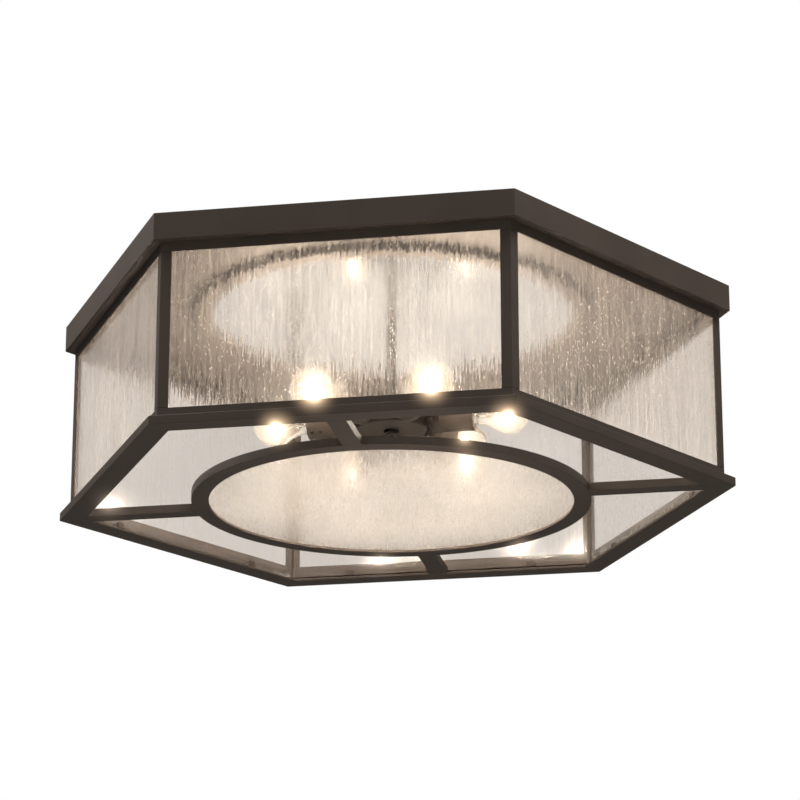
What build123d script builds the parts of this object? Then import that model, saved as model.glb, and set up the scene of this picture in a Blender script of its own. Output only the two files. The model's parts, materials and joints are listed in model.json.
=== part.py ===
from build123d import *
import os
from math import atan2, cos, degrees, radians, sin, tan

# Hexagonal flush mount ceiling light with six screw lamps.
# Millimetres, +Z up. The origin is the middle of the ceiling plane, so the light hangs below z = 0.
# Two corners of the hexagon lie on the X axis, and the front and back sides face -Y and +Y.

# Hexagon
sides = 6
half_side_angle = 180 / sides
corner_radius = 381.0  # centre to a corner of the cap and of the bottom frame
total_height = 232.0

# Cap against the ceiling
cap_height = 30.0
skirt_sheet = 2.0
plate_thickness = 2.0

# Cage that holds the panes
cage_step = 10.3  # how far the cage's faces lie inside the cap's
cage_sheet = 2.0
upper_rail_show = 10.2  # height of rail seen below the cap
lower_rail_show = 10.9  # height of rail above the bottom frame
post_leg = 11.5

# Bottom frame
frame_height = 9.7
frame_leg = 25.4
frame_sheet = 3.0
spoke_width = 20.4
spoke_lap = 6.0  # how far a spoke's end lies on the frame's leg

# Rolled rings for the bottom glass and for the reflector
ring_radius = 221.5
ring_leg = 19.5
ring_sheet = 3.0
disc_clearance = 0.5
reflector_thickness = 1.5

# Glass and its clips
glass_thickness = 3.0
pane_clearance = 0.4  # from the rails, and below the upper clips
pane_corner_gap = 2.0
clip_sheet = 1.2
clip_width = 10.0
clip_reach = 5.0  # height of the lip that holds a pane
clip_seat = 6.0  # overlap of a clip on its rail
clip_clearance = 0.2
clip_offset = 110.0  # from the middle of a side

# Crossbar on the ceiling box, with slots for the box screws
crossbar_length = 110.0
crossbar_width = 22.0
crossbar_thickness = 2.0
box_screw_spacing = 88.9
box_slot_length = 16.0
box_slot_width = 5.0

# Threaded stem and its nuts
stem_radius = 5.1
stem_bore_radius = 3.2
stem_end = 2.0  # bare thread below the last nut
stem_wire_hole = 4.4
thread_clearance = 0.15
nut_across_flats = 15.9
nut_thickness = 3.6
nut_clearance = 0.3

# Hub
lamp_height = -133.0  # level of the lamps' axes
hub_radius = 40.0
hub_height = 28.0
hub_wall = 3.0
cover_thickness = 2.0
cover_clearance = 0.2
cover_rebate = 1.4

# Lampholders
lamp_count = 6
socket_radius = 19.0
socket_length = 50.0
socket_wall = 1.4
socket_round = 6.0
socket_gap = 4.0  # bare neck between hub and cup
neck_radius = 6.5
neck_bore_radius = 3.6
neck_inside = 2.0  # how far a neck stands into the hub
liner_clearance = 0.2
liner_recess = 3.0  # from the cup's mouth
liner_length = 41.0
sleeve_sheet = 0.5
sleeve_recess = 2.0  # from the liner's mouth
contact_radius = 4.5
contact_height = 4.0

# Lamps, with a 26 mm screw base
base_radius = 13.1
base_length = 21.2
base_sheet = 0.6
base_lip = 5.0
base_show = 3.0  # base seen outside the cup
base_clearance = 0.35
tip_length = 5.5
tip_radius = 11.8
tip_button_radius = 4.5
tip_button_height = 1.2
tip_shoulder = 1.5
running_gap = 0.3
globe_radius = 23.8
globe_reach = 36.0  # from the base's end to the globe's centre
bulb_wall = 0.9
bulb_in_base = 9.0
neck_straight = 1.0
foot_radius = 3.4
foot_flare = 5.0
foot_length = 22.0
wire_radius = 0.5
wire_spread = 8.0
wire_length = 14.0
filament_radius = 0.9
filament_rise = 6.0

# Levels and distances that follow from the sizes above
cap_apothem = corner_radius * cos(radians(half_side_angle))
skirt_inner = cap_apothem - skirt_sheet
cage_apothem = cap_apothem - cage_step
cage_inner = cage_apothem - cage_sheet

plate_top = -(crossbar_thickness + nut_clearance + nut_thickness)
plate_bottom = plate_top - plate_thickness
cap_bottom = -cap_height
upper_ledge_top = cap_bottom + cage_sheet
upper_rail_bottom = cap_bottom - upper_rail_show

frame_bottom = -total_height
frame_top = frame_bottom + frame_height
frame_leg_top = frame_bottom + frame_sheet
frame_inner = cap_apothem - frame_leg
frame_wall_inner = cap_apothem - frame_sheet
lower_ledge_bottom = frame_top - cage_sheet
lower_rail_top = frame_top + lower_rail_show

glass_outer = cage_inner - pane_clearance
glass_inner = glass_outer - glass_thickness
pane_bottom = lower_ledge_bottom
pane_top = upper_ledge_top - pane_clearance
pane_width = 2 * (glass_inner * tan(radians(half_side_angle)) - pane_corner_gap)

ring_inner = ring_radius - ring_leg
disc_radius = ring_radius - ring_sheet - disc_clearance
upper_ring_height = nut_thickness + nut_clearance + reflector_thickness + ring_sheet
upper_ring_bottom = plate_bottom - upper_ring_height

hub_top = lamp_height + hub_height / 2
hub_bottom = lamp_height - hub_height / 2
stem_hole_radius = stem_radius + thread_clearance
stem_bottom = hub_bottom - nut_thickness - stem_end

# Places along a lamp's axis, measured from the stem's axis
socket_back = hub_radius + socket_gap
socket_mouth = socket_back + socket_length
socket_bore = socket_radius - socket_wall
liner_mouth = socket_mouth - liner_recess
liner_back = liner_mouth - liner_length
base_end = socket_mouth + base_show
base_start = base_end - base_length
tip_back = base_start - running_gap
tip_front = tip_back - tip_length
contact_face = tip_front - running_gap
liner_floor = contact_face - contact_height
sleeve_inner = base_radius + base_clearance
sleeve_outer = sleeve_inner + sleeve_sheet
sleeve_mouth = liner_mouth - sleeve_recess
globe_centre = base_end + globe_reach
bulb_neck_radius = base_radius - base_sheet - thread_clearance
bulb_start = base_end - bulb_in_base


def turned(angle, solid):
    """The solid turned about the light's upright axis."""
    return Rot(0, 0, angle) * solid


def side_angles():
    """Directions in which the six sides face."""
    return [half_side_angle + 2 * half_side_angle * side for side in range(sides)]


def lamp_angles():
    """Directions in which the lamps point: towards the corners."""
    return [360 / lamp_count * lamp for lamp in range(lamp_count)]


def hexagon_prism(apothem, low, high):
    """A solid hexagon between two levels, with corners on the X axis."""
    outline = RegularPolygon(apothem, sides, major_radius=False)
    return Pos(0, 0, low) * extrude(outline, high - low)


def mitred_bars(section):
    """Six bars of one section, given as distance from the axis and level, mitred at the corners."""
    reach = 2 * corner_radius
    half_width = reach * tan(radians(half_side_angle))
    wedge = Polygon((0, 0), (reach, -half_width), (reach, half_width), align=None)
    wedge_solid = Pos(0, 0, -reach) * extrude(wedge, 2 * reach)
    long_bar = extrude(Plane.XZ * Polygon(*section, align=None), corner_radius, both=True)
    bar = long_bar & wedge_solid
    return [turned(angle, bar) for angle in side_angles()]


def angle_ring(low, high):
    """Rolled angle ring: a flat leg inwards at the bottom and a wall outside."""
    wall_inner = ring_radius - ring_sheet
    section = Polygon(
        (ring_inner, low),
        (ring_radius, low),
        (ring_radius, high),
        (wall_inner, high),
        (wall_inner, low + ring_sheet),
        (ring_inner, low + ring_sheet),
        align=None,
    )
    return revolve(Plane.XZ * section, Axis.Z)


def pan_skirt():
    section = [
        (skirt_inner, cap_bottom),
        (cap_apothem, cap_bottom),
        (cap_apothem, 0),
        (skirt_inner, 0),
    ]
    return mitred_bars(section)


def pan_plate():
    plate = hexagon_prism(skirt_inner, plate_bottom, plate_top)
    hole = Pos(0, 0, plate_bottom) * Cylinder(stem_hole_radius, 2 * plate_thickness)
    return plate - hole


def upper_rails():
    section = [
        (cage_inner, upper_ledge_top),
        (cage_inner, upper_rail_bottom),
        (cage_apothem, upper_rail_bottom),
        (cage_apothem, cap_bottom),
        (skirt_inner, cap_bottom),
        (skirt_inner, upper_ledge_top),
    ]
    return mitred_bars(section)


def lower_rails():
    section = [
        (cage_inner, lower_ledge_bottom),
        (frame_wall_inner, lower_ledge_bottom),
        (frame_wall_inner, frame_top),
        (cage_apothem, frame_top),
        (cage_apothem, lower_rail_top),
        (cage_inner, lower_rail_top),
    ]
    return mitred_bars(section)


def bottom_flange():
    section = [
        (frame_inner, frame_bottom),
        (cap_apothem, frame_bottom),
        (cap_apothem, frame_top),
        (frame_wall_inner, frame_top),
        (frame_wall_inner, frame_leg_top),
        (frame_inner, frame_leg_top),
    ]
    return mitred_bars(section)


def corner_posts():
    """Strips bent to the corner's angle, which stand between the rails."""
    low = lower_rail_top
    shell = hexagon_prism(cage_apothem, low, upper_rail_bottom)
    shell -= hexagon_prism(cage_inner, low, upper_rail_bottom)
    # A wedge with its point inside the corner trims both legs square to their faces.
    corner = cage_apothem / cos(radians(half_side_angle))
    leg_end_x = corner - post_leg * sin(radians(half_side_angle))
    leg_end_y = post_leg * cos(radians(half_side_angle))
    point_x = leg_end_x - leg_end_y / tan(radians(half_side_angle))
    reach = 2 * corner_radius
    half_width = reach * tan(radians(half_side_angle))
    wedge = Polygon((point_x, 0), (point_x + reach, -half_width), (point_x + reach, half_width), align=None)
    post = shell & (Pos(0, 0, low) * extrude(wedge, upper_rail_bottom - low))
    return [turned(2 * half_side_angle * corner_number, post) for corner_number in range(sides)]


def spoke(angle):
    """Flat bar from the ring to the bottom frame, with a lapped end that lies on the frame's leg."""
    bar_align = (Align.MIN, Align.CENTER, Align.MIN)
    bar = Pos(0, 0, frame_bottom) * Box(corner_radius, spoke_width, frame_height, align=bar_align)
    inside = hexagon_prism(frame_inner, frame_bottom, frame_leg_top)
    inside += hexagon_prism(frame_inner + spoke_lap, frame_leg_top, frame_top)
    ring_space = Pos(0, 0, frame_bottom) * Cylinder(ring_radius, 2 * frame_height)
    return (turned(angle, bar) & inside) - ring_space


def side_glass(angle):
    pane_middle = Pos((glass_inner + glass_outer) / 2, 0, (pane_bottom + pane_top) / 2)
    return turned(angle, pane_middle * Box(glass_thickness, pane_width, pane_top - pane_bottom))


def glass_clips():
    """Bent tabs, two above and two below each pane: a base on the rail and a lip against the glass."""
    lip_outer = glass_inner - clip_clearance
    lip_inner = lip_outer - clip_sheet
    base_end_x = cage_inner + clip_seat
    clips = []
    for seat, up in ((lower_ledge_bottom, 1), (upper_ledge_top, -1)):
        section = Polygon(
            (base_end_x, seat),
            (base_end_x, seat - up * clip_sheet),
            (lip_inner, seat - up * clip_sheet),
            (lip_inner, seat + up * clip_reach),
            (lip_outer, seat + up * clip_reach),
            (lip_outer, seat),
            align=None,
        )
        clip = extrude(Plane.XZ * section, clip_width / 2, both=True)
        for angle in side_angles():
            for place in (-clip_offset, clip_offset):
                clips.append(turned(angle, Pos(0, place, 0) * clip))
    return clips


def disc(low, thickness, hole_radius):
    """Round plate that lies in a ring."""
    outline = Circle(disc_radius)
    if hole_radius > 0:
        outline -= Circle(hole_radius)
    return Pos(0, 0, low) * extrude(outline, thickness)


def crossbar():
    outline = RectangleRounded(crossbar_length, crossbar_width, crossbar_thickness)
    outline -= Circle(stem_hole_radius)
    slot = SlotOverall(box_slot_length, box_slot_width)
    for side in (-1, 1):
        outline -= Pos(side * box_screw_spacing / 2, 0) * slot
    return extrude(outline, -crossbar_thickness)


def stem():
    pipe = extrude(Circle(stem_radius) - Circle(stem_bore_radius), stem_bottom)
    wire_hole = Pos(0, 0, lamp_height) * Rot(90, 0, 0) * Cylinder(stem_wire_hole / 2, 4 * stem_radius)
    return pipe - wire_hole


def stem_nuts():
    outline = RegularPolygon(nut_across_flats / 2, 6, major_radius=False) - Circle(stem_hole_radius)
    nut = extrude(outline, nut_thickness)
    undersides = [plate_top, plate_bottom - nut_thickness, hub_top, hub_bottom - nut_thickness]
    return [Pos(0, 0, level) * nut for level in undersides]


def hub():
    """Turned wiring body, open below, with a rebate for its cover and a hole for each lampholder."""
    inner_radius = hub_radius - hub_wall
    section = Polygon(
        (stem_hole_radius, hub_top),
        (hub_radius, hub_top),
        (hub_radius, hub_bottom),
        (inner_radius + cover_rebate, hub_bottom),
        (inner_radius + cover_rebate, hub_bottom + cover_thickness),
        (inner_radius, hub_bottom + cover_thickness),
        (inner_radius, hub_top - hub_wall),
        (stem_hole_radius, hub_top - hub_wall),
        align=None,
    )
    body = revolve(Plane.XZ * section, Axis.Z)
    hole_align = (Align.CENTER, Align.CENTER, Align.MIN)
    hole = Rot(0, 90, 0) * Cylinder(neck_radius + thread_clearance, 2 * hub_radius, align=hole_align)
    for angle in lamp_angles():
        body -= turned(angle, Pos(0, 0, lamp_height) * hole)
    return body


def hub_cover():
    cover_radius = hub_radius - hub_wall + cover_rebate - cover_clearance
    outline = Circle(cover_radius) - Circle(stem_hole_radius)
    return Pos(0, 0, hub_bottom) * extrude(outline, cover_thickness)


def on_lamp_axis(section, angle):
    """A body of revolution on a lamp's axis, from a section of (distance along it, radius)."""
    return turned(angle, Pos(0, 0, lamp_height) * revolve(section, Axis.X))


def socket(angle):
    """Cup with a rounded back and a hollow neck that enters the hub."""
    neck_end = hub_radius - hub_wall - neck_inside
    outline = Polygon(
        (neck_end, neck_bore_radius),
        (neck_end, neck_radius),
        (socket_back, neck_radius),
        (socket_back, socket_radius),
        (socket_mouth, socket_radius),
        (socket_mouth, socket_bore),
        (socket_back + socket_wall, socket_bore),
        (socket_back + socket_wall, neck_bore_radius),
        align=None,
    )
    outer_corner = outline.vertices().sort_by_distance((socket_back, socket_radius))[0]
    outline = fillet(outer_corner, socket_round)
    inner_corner = outline.vertices().sort_by_distance((socket_back + socket_wall, socket_bore))[0]
    outline = fillet(inner_corner, socket_round - socket_wall)
    return on_lamp_axis(outline, angle)


def socket_liner(angle):
    """Insulating body with a blind bore for the threaded sleeve."""
    outer = socket_bore - liner_clearance
    bore = sleeve_outer
    section = Polygon(
        (liner_back, 0),
        (liner_back, outer),
        (liner_mouth, outer),
        (liner_mouth, bore),
        (liner_floor, bore),
        (liner_floor, 0),
        align=None,
    )
    return on_lamp_axis(section, angle)


def socket_screw_shell(angle):
    section = Polygon(
        (liner_floor, sleeve_inner),
        (liner_floor, sleeve_outer),
        (sleeve_mouth, sleeve_outer),
        (sleeve_mouth, sleeve_inner),
        align=None,
    )
    return on_lamp_axis(section, angle)


def socket_contact(angle):
    section = Polygon(
        (liner_floor, 0),
        (liner_floor, contact_radius),
        (contact_face, contact_radius),
        (contact_face, 0),
        align=None,
    )
    return on_lamp_axis(section, angle)


def bulb_tip(angle):
    """Insulating cone with the lamp's centre contact."""
    button_back = tip_front + tip_button_height
    section = Polygon(
        (tip_front, 0),
        (tip_front, tip_button_radius),
        (button_back, tip_button_radius),
        (button_back, tip_button_radius + tip_shoulder),
        (tip_back, tip_radius),
        (tip_back, 0),
        align=None,
    )
    return on_lamp_axis(section, angle)


def bulb_base(angle):
    """Thin screw shell with an inward lip at the contact's end."""
    inner = base_radius - base_sheet
    section = Polygon(
        (base_start, base_radius - base_lip),
        (base_start, base_radius),
        (base_end, base_radius),
        (base_end, inner),
        (base_start + base_sheet, inner),
        (base_start + base_sheet, base_radius - base_lip),
        align=None,
    )
    return on_lamp_axis(section, angle)


def bulb_outline(inset):
    """Half outline of a bulb, inset from its outside: a straight neck, a hollow curve and a round globe."""
    neck = bulb_neck_radius - inset
    globe = globe_radius - inset
    curve_start = base_end + neck_straight
    run = globe_centre - curve_start
    # The hollow curve touches the neck's line and the globe's circle.
    curve = (run**2 + neck**2 - globe**2) / (2 * (globe - neck))
    curve_end_angle = degrees(atan2(neck + curve, -run))
    return [
        Line((bulb_start, neck), (curve_start, neck)),
        CenterArc((curve_start, neck + curve), curve, 270, curve_end_angle - 90),
        CenterArc((globe_centre, 0), globe, curve_end_angle, -curve_end_angle),
    ]


def bulb_glass(angle):
    """Blown envelope, open at the neck."""
    outer = bulb_outline(0)
    inner = bulb_outline(bulb_wall)
    neck_rim = Line(inner[0] @ 0, outer[0] @ 0)
    tip_wall = Line(outer[-1] @ 1, inner[-1] @ 1)
    return on_lamp_axis(make_face([*outer, *inner, neck_rim, tip_wall]), angle)


def filament(angle):
    """Glass foot in the neck, two lead wires one above the other, and the bowed filament between them."""
    flare_radius = bulb_neck_radius - bulb_wall - running_gap
    foot_end = bulb_start + foot_length
    foot_section = Polygon(
        (bulb_start, 0),
        (bulb_start, flare_radius),
        (bulb_start + foot_flare, foot_radius),
        (foot_end, foot_radius),
        (foot_end, 0),
        align=None,
    )
    mount = revolve(foot_section, Axis.X)
    wire_end = foot_end + wire_length
    for side in (-1, 1):
        start = (foot_end - foot_radius, side * (foot_radius - wire_radius), 0)
        end = (wire_end, side * wire_spread, 0)
        mount += sweep(Plane(start, z_dir=Vector(*end) - Vector(*start)) * Circle(wire_radius), Line(start, end))
    bow = ThreePointArc((wire_end, -wire_spread, 0), (wire_end + filament_rise, 0, 0), (wire_end, wire_spread, 0))
    mount += sweep(Plane(bow @ 0, z_dir=bow % 0) * Circle(filament_radius), bow)
    return turned(angle, Pos(0, 0, lamp_height) * Rot(90, 0, 0) * mount)


def save(name, *solids):
    """Write one node, with one solid or with a group of separate ones."""
    shape = solids[0] if len(solids) == 1 else Compound(children=list(solids))
    shape.label = name
    export_step(shape, f"parts/{name}.step")


def save_each(name, make, angles):
    """Write one numbered node for each direction."""
    for number, angle in enumerate(angles, start=1):
        save(f"{name}_{number}", make(angle))


os.makedirs("parts", exist_ok=True)

save("pan_skirt", *pan_skirt())
save("pan_plate", pan_plate())
save("crossbar", crossbar())
save("upper_rails", *upper_rails())
save("lower_rails", *lower_rails())
save("corner_posts", *corner_posts())
save("bottom_flange", *bottom_flange())
save("upper_ring", angle_ring(upper_ring_bottom, plate_bottom))
save("reflector", disc(upper_ring_bottom + ring_sheet, reflector_thickness, stem_hole_radius))
save("bottom_ring", angle_ring(frame_bottom, frame_top))
save("bottom_glass", disc(frame_bottom + ring_sheet, glass_thickness, 0))
save("glass_clips", *glass_clips())
save("stem", stem())
save("stem_nuts", *stem_nuts())
save("hub", hub())
save("hub_cover", hub_cover())

for spoke_name, spoke_angle in (("right", 0), ("back", 90), ("left", 180), ("front", 270)):
    save(f"{spoke_name}_spoke", spoke(spoke_angle))

save_each("side_glass", side_glass, side_angles())
save_each("socket", socket, lamp_angles())
save("socket_liners", *[socket_liner(angle) for angle in lamp_angles()])
save("socket_screw_shells", *[socket_screw_shell(angle) for angle in lamp_angles()])
save("socket_contacts", *[socket_contact(angle) for angle in lamp_angles()])
save_each("bulb_tip", bulb_tip, lamp_angles())
save_each("bulb_base", bulb_base, lamp_angles())
save_each("bulb_glass", bulb_glass, lamp_angles())
save_each("filament", filament, lamp_angles())
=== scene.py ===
import json
from math import atan2, ceil, cos, pi, radians, sin, tan

import bmesh
import bpy
from bpy.props import FloatProperty, FloatVectorProperty, IntProperty, PointerProperty
from bpy.types import Operator, Panel, PropertyGroup
from mathutils import Matrix, Vector, noise

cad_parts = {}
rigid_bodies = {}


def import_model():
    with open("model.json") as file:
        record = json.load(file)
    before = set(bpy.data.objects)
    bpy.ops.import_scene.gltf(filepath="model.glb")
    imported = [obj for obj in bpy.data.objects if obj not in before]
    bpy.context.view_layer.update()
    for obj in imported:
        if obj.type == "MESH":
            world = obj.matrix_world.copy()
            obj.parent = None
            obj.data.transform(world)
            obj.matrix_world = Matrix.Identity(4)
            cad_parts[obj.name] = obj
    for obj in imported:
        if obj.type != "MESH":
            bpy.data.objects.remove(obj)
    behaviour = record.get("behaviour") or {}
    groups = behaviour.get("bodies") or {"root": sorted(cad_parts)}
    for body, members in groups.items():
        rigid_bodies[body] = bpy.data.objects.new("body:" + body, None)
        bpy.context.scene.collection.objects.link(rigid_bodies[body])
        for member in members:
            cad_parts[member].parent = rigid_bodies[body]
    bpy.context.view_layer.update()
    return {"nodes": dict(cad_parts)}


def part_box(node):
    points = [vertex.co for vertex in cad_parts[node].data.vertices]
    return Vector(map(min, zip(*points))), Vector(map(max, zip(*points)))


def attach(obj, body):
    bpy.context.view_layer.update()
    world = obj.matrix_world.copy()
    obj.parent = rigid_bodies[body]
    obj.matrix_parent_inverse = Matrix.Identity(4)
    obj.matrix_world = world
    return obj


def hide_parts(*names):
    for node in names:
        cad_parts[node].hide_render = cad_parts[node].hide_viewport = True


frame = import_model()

bl_info = {
    "name": "Six-lamp ceiling light",
    "version": (1, 0, 0),
    "blender": (4, 5, 0),
    "location": "3D View > Sidebar > Ceiling light",
    "description": "Builds the looks of a hexagonal flush mount light around its packed solids",
    "category": "Object",
}

# Metres, +Z up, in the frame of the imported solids. The origin is the middle of the ceiling plane.
MILLIMETRE = 0.001
SIDES = 6
LAMPS = 6
SIDE_NUMBERS = range(1, SIDES + 1)
LAMP_NUMBERS = range(1, LAMPS + 1)
FRONT_PANE = "side_glass_5"

# Points nearer than this are one point, flatter edges vanish, and sharper ones are rounded.
SAME_POINT = 0.001 * MILLIMETRE
FLAT = radians(1)
SHARP = radians(25)

FINISH = "_finish"
MATT = "matt"
GLASS_IOR = 1.5
SENSOR_WIDTH = 36

hanging = "fixture"


# Sizes read from the solids


def reach(node, axis):
    """How far a node goes along an axis, from its middle line."""
    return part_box(node)[1][axis]


def level(node):
    """Lowest and highest level of a node."""
    low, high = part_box(node)
    return low.z, high.z


def lying_radius(node):
    """Radius of a round node that lies along X."""
    low, high = level(node)
    return (high - low) / 2


def thread_pitch(turns):
    """Pitch of a thread with so many turns to the inch."""
    return 25.4 / turns * MILLIMETRE


cap_apothem = reach("pan_skirt", 1)
lamp_level = sum(level("bulb_tip_1")) / 2
stem_radius = reach("stem", 0)
stem_hole = stem_radius + 0.15 * MILLIMETRE


# Settings that a user may change

LENGTH = {"subtype": "DISTANCE", "unit": "LENGTH"}
ANGLE = {"subtype": "ANGLE", "unit": "ROTATION"}
POWER = {"unit": "POWER"}
SHARE = {"subtype": "FACTOR"}


def setting(name, description, default, **kind):
    """A number, with its unit or subtype."""
    return FloatProperty(name=name, description=description, default=default, **kind)


def colour_setting(name, description, default):
    """A colour, as red, green and blue."""
    return FloatVectorProperty(name=name, description=description, default=default, size=3, subtype="COLOR")


class BronzeSettings(PropertyGroup):
    """Painted sheet and bar of the cap, the cage, the bottom frame and the rings."""

    paint: colour_setting("Paint", "Colour of the dark bronze paint", (0.042, 0.0315, 0.0242))
    paint_light: colour_setting(
        "Paint, light patches", "Colour of the paint where it lies thinner", (0.054, 0.0406, 0.0315)
    )
    paint_roughness: setting("Paint roughness", "Roughness of the satin paint", 0.58, **SHARE)
    edge: setting("Edge", "Rounding of the edges of sheet and bar", 0.6 * MILLIMETRE, **LENGTH)
    sheet: setting("Sheet", "Thickness of the cap's and the cage's sheet", 2 * MILLIMETRE, **LENGTH)
    bar: setting(
        "Bar", "Thickness of the angle bar in the bottom frame and the rings", 3 * MILLIMETRE, **LENGTH
    )
    frame_leg: setting("Frame leg", "Width of the bottom frame's flat leg", 25.4 * MILLIMETRE, **LENGTH)
    ring_leg: setting("Ring leg", "Width of a ring's flat leg", 19.5 * MILLIMETRE, **LENGTH)


class GlassSettings(PropertyGroup):
    """Clear seeded glass of the side panes and of the bottom disc."""

    tint: colour_setting("Tint", "Colour of what is seen through the glass", (0.965, 0.945, 0.92))
    glow: colour_setting("Glow", "Colour of the light that the glass scatters", (0.95, 0.86, 0.775))
    haze: setting("Haze", "Share of the light that the panes' streaks scatter", 0.0255, **SHARE)
    disc_haze: setting(
        "Disc haze", "Share of the light that the bottom disc scatters, near the lamps", 0.018, **SHARE
    )
    seed_glow: setting("Seed glow", "How much more light than a streak a small bubble scatters", 6.0)
    disc_turn: setting("Disc turn", "Turn of the disc's streaks from the front", radians(10.5), **ANGLE)
    streak_width: setting(
        "Streak width", "Distance between the fine streaks of the drawing", 1.7 * MILLIMETRE, **LENGTH
    )
    streak_length: setting("Streak length", "Length of a streak", 32 * MILLIMETRE, **LENGTH)
    smear: setting(
        "Smear", "How far the streaks lean the faces of a pane, and so smear what is seen along them", 0.14
    )
    disc_smear: setting("Disc smear", "How far the streaks lean the faces of the bottom disc", 0.08)
    wave_width: setting(
        "Wave width", "Distance between the waves in the faces of the glass", 12 * MILLIMETRE, **LENGTH
    )
    wave_length: setting("Wave length", "Length of a wave along the drawing", 90 * MILLIMETRE, **LENGTH)
    ripple: setting("Ripple", "Depth of the waves in both faces of the glass", 0.04 * MILLIMETRE, **LENGTH)
    seed_spacing: setting("Seed spacing", "Distance between the small bubbles", 2.1 * MILLIMETRE, **LENGTH)


class LampSettings(PropertyGroup):
    """Screw lamps and their holders."""

    pitch: setting(
        "Pitch", "Pitch of the lamp's screw thread, seven turns to the inch", thread_pitch(7), **LENGTH
    )
    thread_depth: setting("Thread depth", "Depth of the rolled thread", 0.8 * MILLIMETRE, **LENGTH)
    coil_turns: IntProperty(name="Coil turns", description="Turns of the filament's coil", default=20, min=4)
    light: colour_setting("Light", "Colour of the light of a lamp", (1.0, 0.87, 0.72))
    power: setting("Power", "Power of a lamp's light for all but the clear pieces", 0.85, **POWER)
    glass_power: setting(
        "Glass power", "Power of a lamp's light that the clear pieces scatter", 3.4, **POWER
    )
    halo_power: setting(
        "Halo power", "Power of a lamp's light that panes and bottom disc spread to a halo", 1.25, **POWER
    )
    filament_strength: setting("Filament strength", "Brightness of the glowing wire", 900.0)
    bulb_haze: setting(
        "Bulb haze", "Share of the light that the thin bulb scatters, so that it glows", 0.0015, **SHARE
    )


class StageSettings(PropertyGroup):
    """Camera, floor and studio light."""

    azimuth: setting("Azimuth", "Turn of the camera from the front", radians(10.54), **ANGLE)
    elevation: setting(
        "Elevation", "Height of the camera's line of sight over the horizon", radians(-18.12), **ANGLE
    )
    distance: setting("Distance", "Distance of the camera from the point it looks at", 3.6036, **LENGTH)
    aim: FloatVectorProperty(
        name="Aim",
        description="Point that the camera looks at",
        subtype="TRANSLATION",
        unit="LENGTH",
        size=3,
        default=(0.009318, 0.001734, -0.11095),
    )
    lens: setting("Lens", "Focal length in millimetres on a 36 mm sensor", 144.9, unit="CAMERA")
    floor_level: setting("Floor level", "Level of the floor under the light", -2.4, **LENGTH)
    backdrop: colour_setting(
        "Backdrop", "Colour of the wall behind the light, as the glass shows it", (0.66, 0.612, 0.567)
    )
    room: colour_setting(
        "Room", "Colour of the studio above the horizon and in front of the light", (0.3, 0.285, 0.27)
    )
    ground: colour_setting("Ground", "Colour of the shaded studio below the horizon", (0.028, 0.025, 0.022))
    side_light: setting("Side light", "Power of the soft light above on the right", 65.0, **POWER)
    left_light: setting("Left light", "Power of the soft light above on the left", 80.0, **POWER)
    front_light: setting("Front light", "Power of the soft light in front on the right", 14.0, **POWER)
    low_light: setting(
        "Low light", "Power of the small soft light under the front", 0.4, **POWER
    )


# Shaders


class Wire:
    """An output in a shader. Arithmetic on it adds Math nodes, and add() adds any other node."""

    def __init__(self, node, output=0):
        self.tree = node.id_data
        self.socket = node.outputs[output]

    def add(self, kind, settings, sockets, output=0):
        """Another node of the same shader: settings first, then sockets, which are filled or linked."""
        node = self.tree.nodes.new("ShaderNode" + kind)
        for name, value in settings.items():
            setattr(node, name, value)
        for name, value in sockets.items():
            if isinstance(value, Wire):
                self.tree.links.new(value.socket, node.inputs[name])
            else:
                node.inputs[name].default_value = value
        return Wire(node, output) if node.outputs else None

    def math(self, operation, first, second):
        return self.add("Math", {"operation": operation}, {0: first, 1: second})

    def __add__(self, other):
        return self.math("ADD", self, other)

    def __radd__(self, other):
        return self.math("ADD", other, self)

    def __sub__(self, other):
        return self.math("SUBTRACT", self, other)

    def __rsub__(self, other):
        return self.math("SUBTRACT", other, self)

    def __mul__(self, other):
        return self.math("MULTIPLY", self, other)

    def __rmul__(self, other):
        return self.math("MULTIPLY", other, self)

    def scaled(self, factors):
        """Places stretched along the axes."""
        return self.add("VectorMath", {"operation": "MULTIPLY"}, {0: self, 1: factors})

    def squeezed(self, direction, factor):
        """Places drawn together along a direction."""
        along = self.add("VectorMath", {"operation": "DOT_PRODUCT"}, {0: self, 1: direction}, "Value")
        part = self.add("VectorMath", {"operation": "SCALE"}, {0: direction, "Scale": along * (1 - factor)})
        return self.add("VectorMath", {"operation": "SUBTRACT"}, {0: self, 1: part})

    def noise(self, scale, detail=2.0, roughness=0.5):
        """Noise of a scale in marks per metre, at these places."""
        sockets = {"Vector": self, "Scale": scale, "Detail": detail, "Roughness": roughness}
        return self.add("TexNoise", {}, sockets)

    def ramp(self, low, high):
        """This value spread from low and high to 0 and 1, with soft ends."""
        settings = {"interpolation_type": "SMOOTHSTEP"}
        return self.add("MapRange", settings, {"Value": self, "From Min": low, "From Max": high})

    def blend(self, first, second):
        """A colour between two, by this value."""
        return self.add("Mix", {"data_type": "RGBA"}, {0: self, 6: first, 7: second}, output=2)

    def bump(self, distance, **normal):
        """Normals of this height, in metres for a height of 1, on top of another normal if one is given."""
        return self.add("Bump", {}, {"Height": self, "Distance": distance, **normal})


def new_finish(name):
    """An empty material, named apart from the plain ones of the solids, and the places on its piece."""
    material = bpy.data.materials.new(name + FINISH)
    material.use_nodes = True
    material.node_tree.nodes.clear()
    places = Wire(material.node_tree.nodes.new("ShaderNodeTexCoord"), "Object")
    return material, places


def shared_finish(name, make, *values):
    """A finish that several operators use, made once."""
    return bpy.data.materials.get(name + FINISH) or make(*values)


def opaque(colour):
    """A colour as a socket takes it."""
    return *colour, 1


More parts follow.
